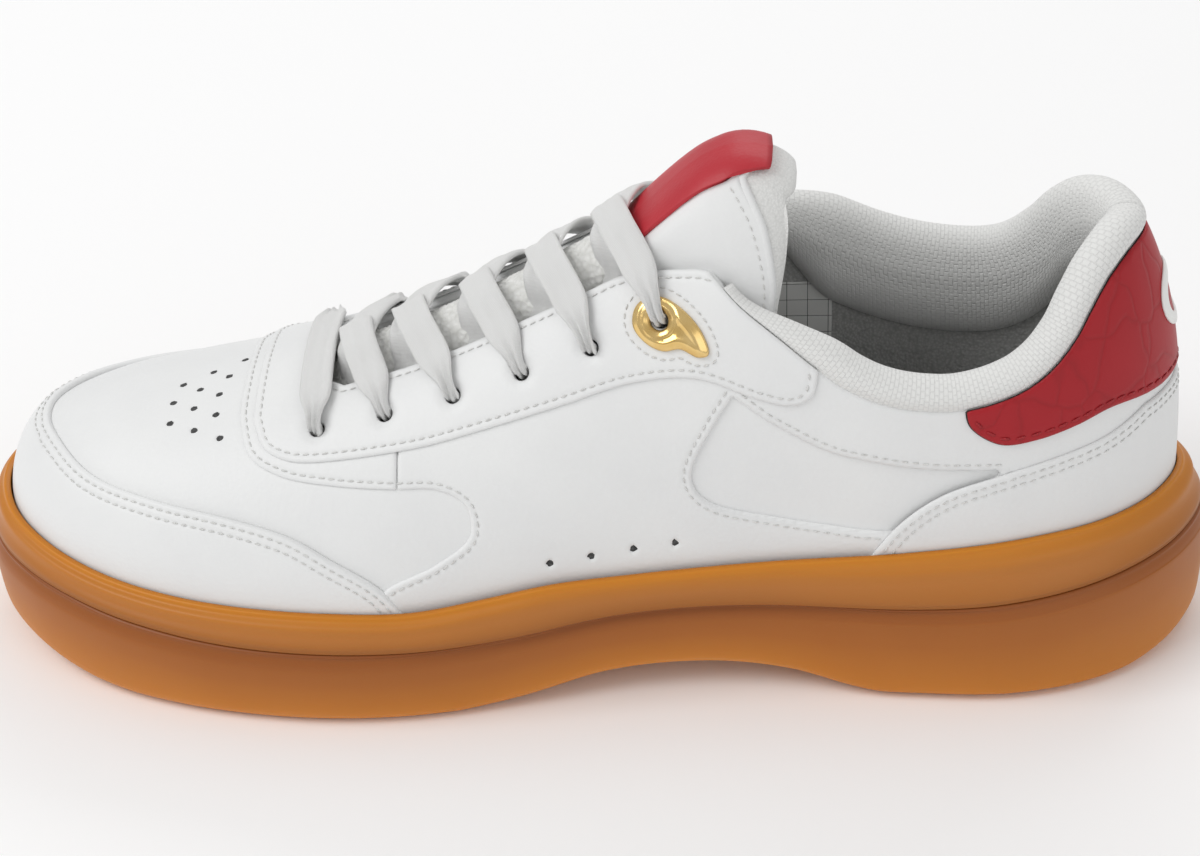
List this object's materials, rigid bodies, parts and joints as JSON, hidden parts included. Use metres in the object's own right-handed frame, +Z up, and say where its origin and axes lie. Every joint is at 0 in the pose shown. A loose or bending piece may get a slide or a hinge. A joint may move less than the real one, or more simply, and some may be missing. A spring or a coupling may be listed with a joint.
{
  "type": "low-top leather court shoe",
  "caption": "Left low-top lace-up court shoe: panelled white leather upper, red heel tab and tongue label, two-tier gum rubber cupsole, flat laces, padded collar.",
  "frame": {"origin": "centre of the shoe's plan box, on the ground under the sole", "axes": "+X from toe to heel, +Y to the medial (inner) side, +Z up"},
  "size_m": [0.3082, 0.1124, 0.1356],
  "materials": {
    "white_leather": "smooth white coated leather, fine grain",
    "red_leather": "red leather with an embossed scale pattern",
    "gum_rubber": "satin translucent gum rubber, amber",
    "gum_rubber_dark": "satin gum rubber, darker brown",
    "collar_knit": "off-white ribbed knit over foam",
    "lining_mesh": "grey spacer mesh",
    "tongue_mesh": "white fleecy mesh",
    "stiffener": "resin-stiffened felt",
    "insole_board": "pressed fibre board",
    "core_foam": "closed-cell foam",
    "lace": "flat woven cotton lace",
    "aglet": "clear film over the lace",
    "gold_metal": "polished gold plating",
    "white_thread": "satin-stitched thread",
    "label_print": "woven tape with a printed grid"
  },
  "bodies": {
    "shoe": {"toe_mudguard": "white_leather", "eyestay": "white_leather", "heel_foxing": "white_leather", "throat_strip": "white_leather", "lateral_quarter": "white_leather", "medial_quarter": "white_leather", "vamp": "white_leather", "lateral_side_panel": "white_leather", "medial_side_panel": "white_leather", "heel_tab": "red_leather", "midsole_cup": "gum_rubber", "outsole": "gum_rubber_dark", "collar": "collar_knit", "quarter_lining": "lining_mesh", "vamp_lining": "lining_mesh", "sockliner": "lining_mesh", "tongue_lower": "tongue_mesh", "toe_puff": "stiffener", "heel_counter": "stiffener", "strobel_board": "insole_board", "cushion_core": "core_foam", "shoelace": "lace", "lateral_aglet": "aglet", "medial_aglet": "aglet", "lateral_gold_eyelet": "gold_metal", "medial_gold_eyelet": "gold_metal", "heel_emblem": "white_thread", "size_label": "label_print"},
    "tongue": {"tongue_upper": "tongue_mesh", "tongue_label": "red_leather"}
  },
  "joints": [
    {"name": "tongue_flex", "type": "hinge", "parent": "shoe", "child": "tongue", "pos_m": [0.00935, -0.00195, 0.099], "axis": [0, 1, 0], "range_deg": [-2, 14], "stiffness_Nm_per_rad": 1.2}
  ]
}
